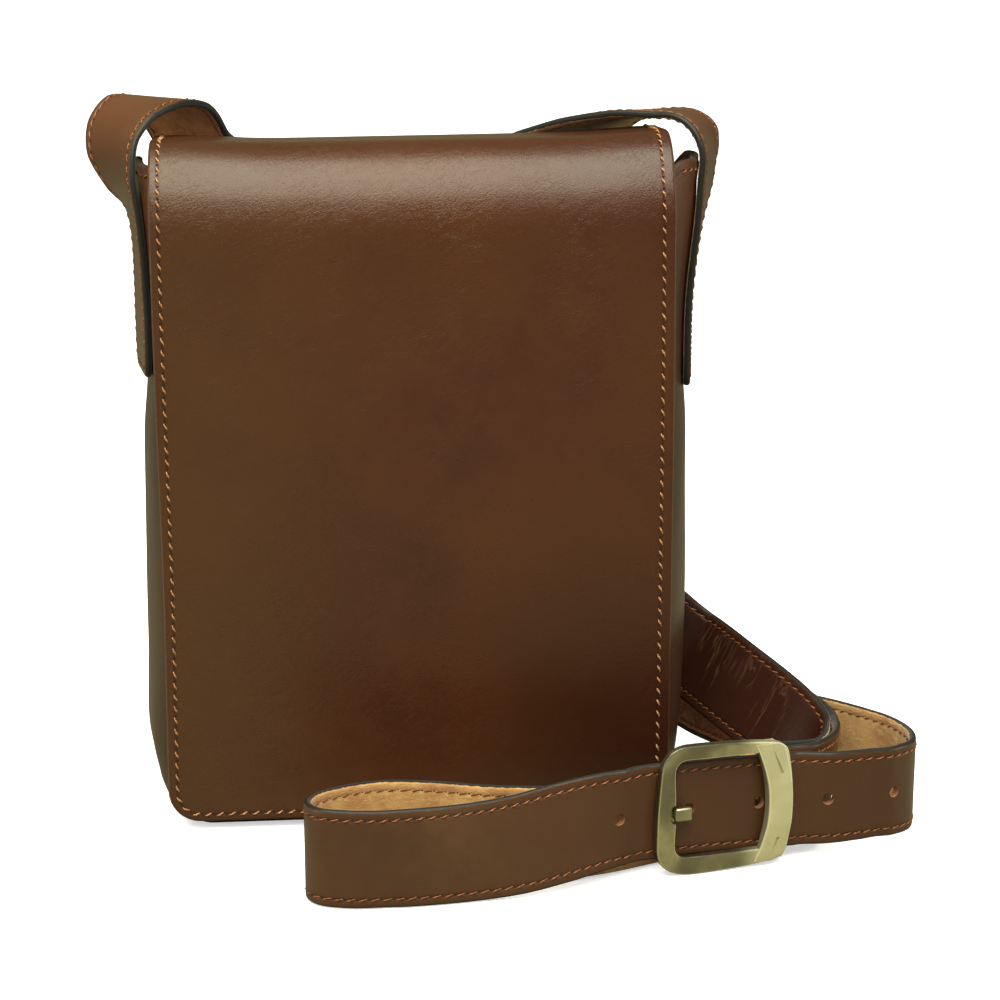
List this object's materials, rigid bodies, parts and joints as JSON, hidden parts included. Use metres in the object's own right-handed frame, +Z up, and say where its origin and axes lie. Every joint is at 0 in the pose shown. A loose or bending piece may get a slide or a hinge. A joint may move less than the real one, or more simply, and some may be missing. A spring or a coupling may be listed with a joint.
{
  "type": "crossbody bag",
  "caption": "Flat upright leather crossbody bag with a full-length front flap and a belt-type strap fastened by a bowed buckle, the strap gathered behind and in front of the bag.",
  "frame": {"origin": "on the floor, under the middle of the flap's width and half way through the body's depth", "axes": "+X to the right and -Y to the front as the flap is seen, +Z up"},
  "size_m": [0.3246, 0.1908, 0.2882],
  "materials": {
    "body_leather": "glossy mottled brown hide with fine creases and dark painted edges",
    "gusset_leather": "glossy brown hide, a little darker than the flap",
    "strap_leather": "dark brown grain, tan flesh side, dark painted edges",
    "buckle_brass": "antique brass, satin, bright along the arrises"
  },
  "bodies": {
    "root": {"flap_and_back": "body_leather", "front_panel": "body_leather", "gusset": "gusset_leather", "strap_long": "strap_leather", "strap_short": "strap_leather", "buckle_frame": "buckle_brass", "buckle_prong": "buckle_brass"}
  },
  "joints": []
}
